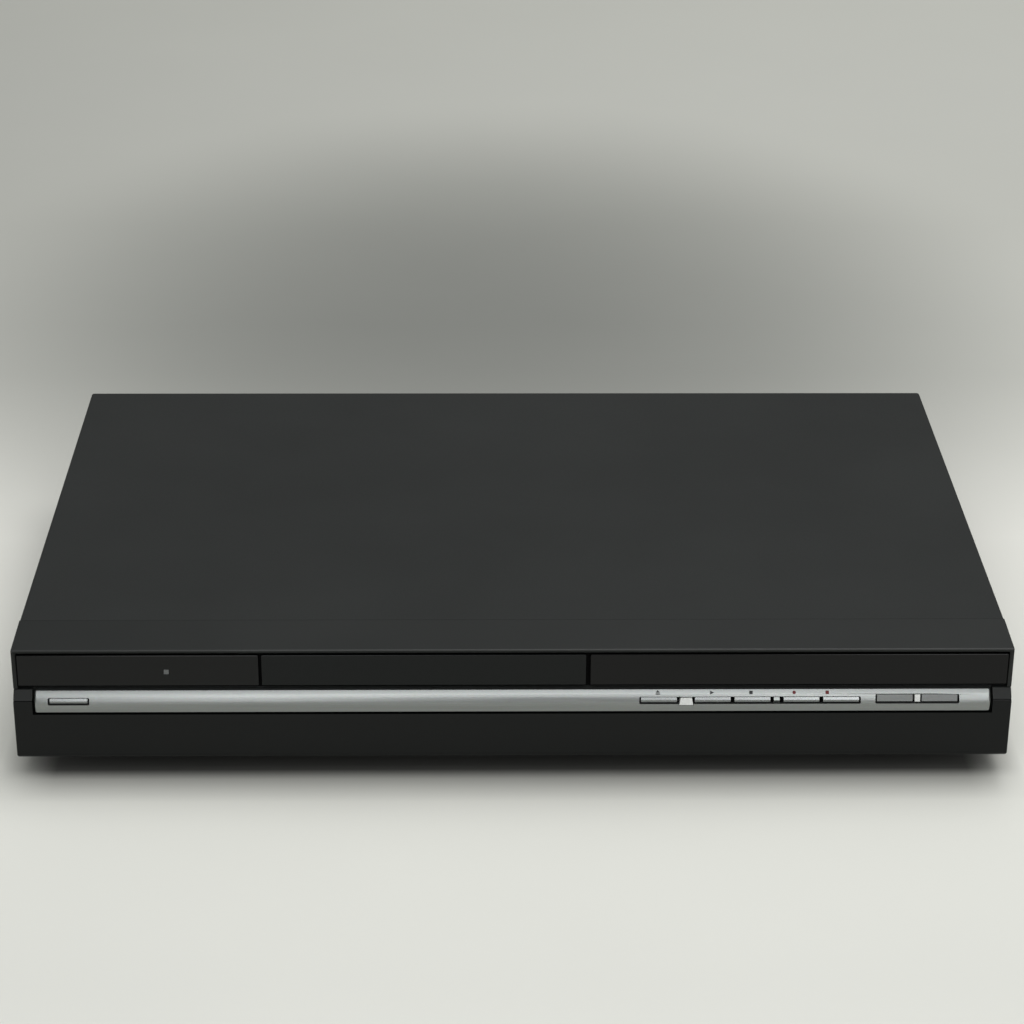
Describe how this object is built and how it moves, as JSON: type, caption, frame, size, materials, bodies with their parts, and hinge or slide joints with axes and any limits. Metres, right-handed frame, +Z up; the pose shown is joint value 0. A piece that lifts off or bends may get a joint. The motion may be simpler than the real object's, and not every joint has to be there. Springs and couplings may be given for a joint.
{
  "type": "dvd recorder",
  "caption": "Flat black disc recorder with a drawer, smoked windows, a silver key strip and a drop flap over front sockets.",
  "frame": {"origin": "on the floor plane under the middle of the bounding box, level with the feet's lower rings", "axes": "+X to the right as one faces the front, +Y to the back, +Z up"},
  "size_m": [0.43, 0.286, 0.0655],
  "materials": {
    "black_steel": "satin",
    "plated_steel": "satin",
    "dark_screws": "satin",
    "foot_plastic": "matte",
    "black_moulding": "satin",
    "smoked_window": "glossy",
    "door_plastic": "glossy",
    "silver_plastic": "satin",
    "frosted_plastic": "satin",
    "black_gloss": "glossy",
    "black_plastic": "matte",
    "bright_plating": "polished",
    "grey_plastic": "matte",
    "pale_plastic": "matte",
    "belt_rubber": "matte",
    "damper_rubber": "matte",
    "bare_aluminium": "satin",
    "green_board": "satin",
    "brown_board": "satin",
    "tube_glass": "glossy",
    "chip_plastic": "matte",
    "winding_tape": "satin",
    "ribbon_plastic": "satin"
  },
  "bodies": {
    "root": {"board_chips": "chip_plastic", "board_screws": "plated_steel", "bottom_chassis": "plated_steel", "case_screws": "dark_screws", "digital_sockets": "plated_steel", "disk_bracket": "plated_steel", "disk_dampers": "damper_rubber", "display_tube": "tube_glass", "display_window": "smoked_window", "drive_base": "black_plastic", "drive_cover": "plated_steel", "fan_frame": "black_plastic", "feet": "foot_plastic", "flat_cables": "ribbon_plastic", "front_board": "green_board", "front_frame": "black_moulding", "front_jacks": "black_plastic", "hard_disk": "bare_aluminium", "heat_sinks": "bare_aluminium", "indicator_lenses": "frosted_plastic", "jack_board": "green_board", "key_strip": "silver_plastic", "key_switches": "chip_plastic", "left_window": "smoked_window", "loading_belt": "belt_rubber", "loading_motor": "plated_steel", "main_board": "green_board", "mains_inlet": "black_plastic", "phono_blocks": "black_plastic", "phono_sleeves": "bright_plating", "power_board": "brown_board", "power_capacitors": "bare_aluminium", "power_transformer": "winding_tape", "rear_panel": "plated_steel", "scart_sockets": "black_plastic", "top_cover": "black_steel", "tuner_can": "plated_steel"},
    "flap": {"front_flap": "black_gloss"},
    "tray": {"disc_tray": "grey_plastic", "tray_door": "door_plastic"},
    "tray_gear": {"tray_gear": "pale_plastic"},
    "belt_pulley": {"belt_pulley": "pale_plastic"},
    "motor_pulley": {"motor_pulley": "pale_plastic"},
    "clamp": {"disc_clamp": "pale_plastic"},
    "traverse": {"traverse_plate": "plated_steel", "guide_rods": "bright_plating", "sled_motor": "plated_steel", "spindle_motor": "plated_steel"},
    "pickup": {"pickup": "bare_aluminium"},
    "lead_screw": {"lead_screw": "bright_plating"},
    "turntable": {"turntable": "grey_plastic"},
    "fan": {"fan_rotor": "black_plastic"},
    "power_key": {"power_key": "silver_plastic"},
    "eject_key": {"eject_key": "silver_plastic"},
    "play_key": {"play_key": "silver_plastic"},
    "stop_key": {"stop_key": "silver_plastic"},
    "record_key": {"record_key": "silver_plastic"},
    "record_stop_key": {"record_stop_key": "silver_plastic"},
    "hard_disk_key": {"hard_disk_key": "silver_plastic"},
    "disc_key": {"disc_key": "silver_plastic"}
  },
  "joints": [
    {"name": "flap_hinge", "type": "hinge", "parent": "root", "child": "flap", "pos_m": [0, -0.13975, 0.01405], "axis": [1, 0, 0], "range_deg": [0, 90]},
    {"name": "tray_slide", "type": "slide", "parent": "root", "child": "tray", "axis": [0, -1, 0], "range_m": [0, 0.138]},
    {"name": "tray_gear_turn", "type": "hinge", "parent": "root", "child": "tray_gear", "pos_m": [-0.08827, -0.112, 0.042], "axis": [0, 0, 1], "range_deg": [0, 988.35]},
    {"name": "belt_pulley_turn", "type": "hinge", "parent": "root", "child": "belt_pulley", "pos_m": [-0.06897, -0.112, 0.036], "axis": [0, 0, 1], "range_deg": [-2965.06, 0]},
    {"name": "motor_pulley_turn", "type": "hinge", "parent": "root", "child": "motor_pulley", "pos_m": [-0.02655, -0.112, 0.035], "axis": [0, 0, 1], "range_deg": [-11582.25, 0]},
    {"name": "clamp_turn", "type": "hinge", "parent": "root", "child": "clamp", "pos_m": [-0.03855, -0.064, 0.06], "axis": [0, 0, 1], "continuous": true},
    {"name": "traverse_lift", "type": "hinge", "parent": "root", "child": "traverse", "pos_m": [-0.03855, 0.042, 0.031], "axis": [-1, 0, 0], "range_deg": [0, 5.1]},
    {"name": "pickup_slide", "type": "slide", "parent": "traverse", "child": "pickup", "axis": [0, 1, 0], "range_m": [0, 0.034]},
    {"name": "lead_screw_turn", "type": "hinge", "parent": "traverse", "child": "lead_screw", "pos_m": [-0.00355, -0.01, 0.0355], "axis": [0, 1, 0], "range_deg": [0, 4080]},
    {"name": "turntable_turn", "type": "hinge", "parent": "traverse", "child": "turntable", "pos_m": [-0.03855, -0.064, 0.043], "axis": [0, 0, 1], "continuous": true},
    {"name": "fan_turn", "type": "hinge", "parent": "root", "child": "fan", "pos_m": [-0.086, 0.125, 0.041], "axis": [0, 1, 0], "continuous": true},
    {"name": "power_key_press", "type": "slide", "parent": "root", "child": "power_key", "axis": [0, 1, 0], "range_m": [0, 0.0008], "stiffness_N_per_m": 800},
    {"name": "eject_key_press", "type": "slide", "parent": "root", "child": "eject_key", "axis": [0, 1, 0], "range_m": [0, 0.0008], "stiffness_N_per_m": 800},
    {"name": "play_key_press", "type": "slide", "parent": "root", "child": "play_key", "axis": [0, 1, 0], "range_m": [0, 0.0008], "stiffness_N_per_m": 800},
    {"name": "stop_key_press", "type": "slide", "parent": "root", "child": "stop_key", "axis": [0, 1, 0], "range_m": [0, 0.0008], "stiffness_N_per_m": 800},
    {"name": "record_key_press", "type": "slide", "parent": "root", "child": "record_key", "axis": [0, 1, 0], "range_m": [0, 0.0008], "stiffness_N_per_m": 800},
    {"name": "record_stop_key_press", "type": "slide", "parent": "root", "child": "record_stop_key", "axis": [0, 1, 0], "range_m": [0, 0.0008], "stiffness_N_per_m": 800},
    {"name": "hard_disk_key_press", "type": "slide", "parent": "root", "child": "hard_disk_key", "axis": [0, 1, 0], "range_m": [0, 0.0008], "stiffness_N_per_m": 800},
    {"name": "disc_key_press", "type": "slide", "parent": "root", "child": "disc_key", "axis": [0, 1, 0], "range_m": [0, 0.0008], "stiffness_N_per_m": 800}
  ],
  "couplings": [
    {"joint": "tray_gear_turn", "follows": "tray_slide", "rad_per_m": 125},
    {"joint": "belt_pulley_turn", "follows": "tray_slide", "rad_per_m": -375},
    {"joint": "motor_pulley_turn", "follows": "tray_slide", "rad_per_m": -1464.8},
    {"joint": "lead_screw_turn", "follows": "pickup_slide", "rad_per_m": 2094.4}
  ]
}
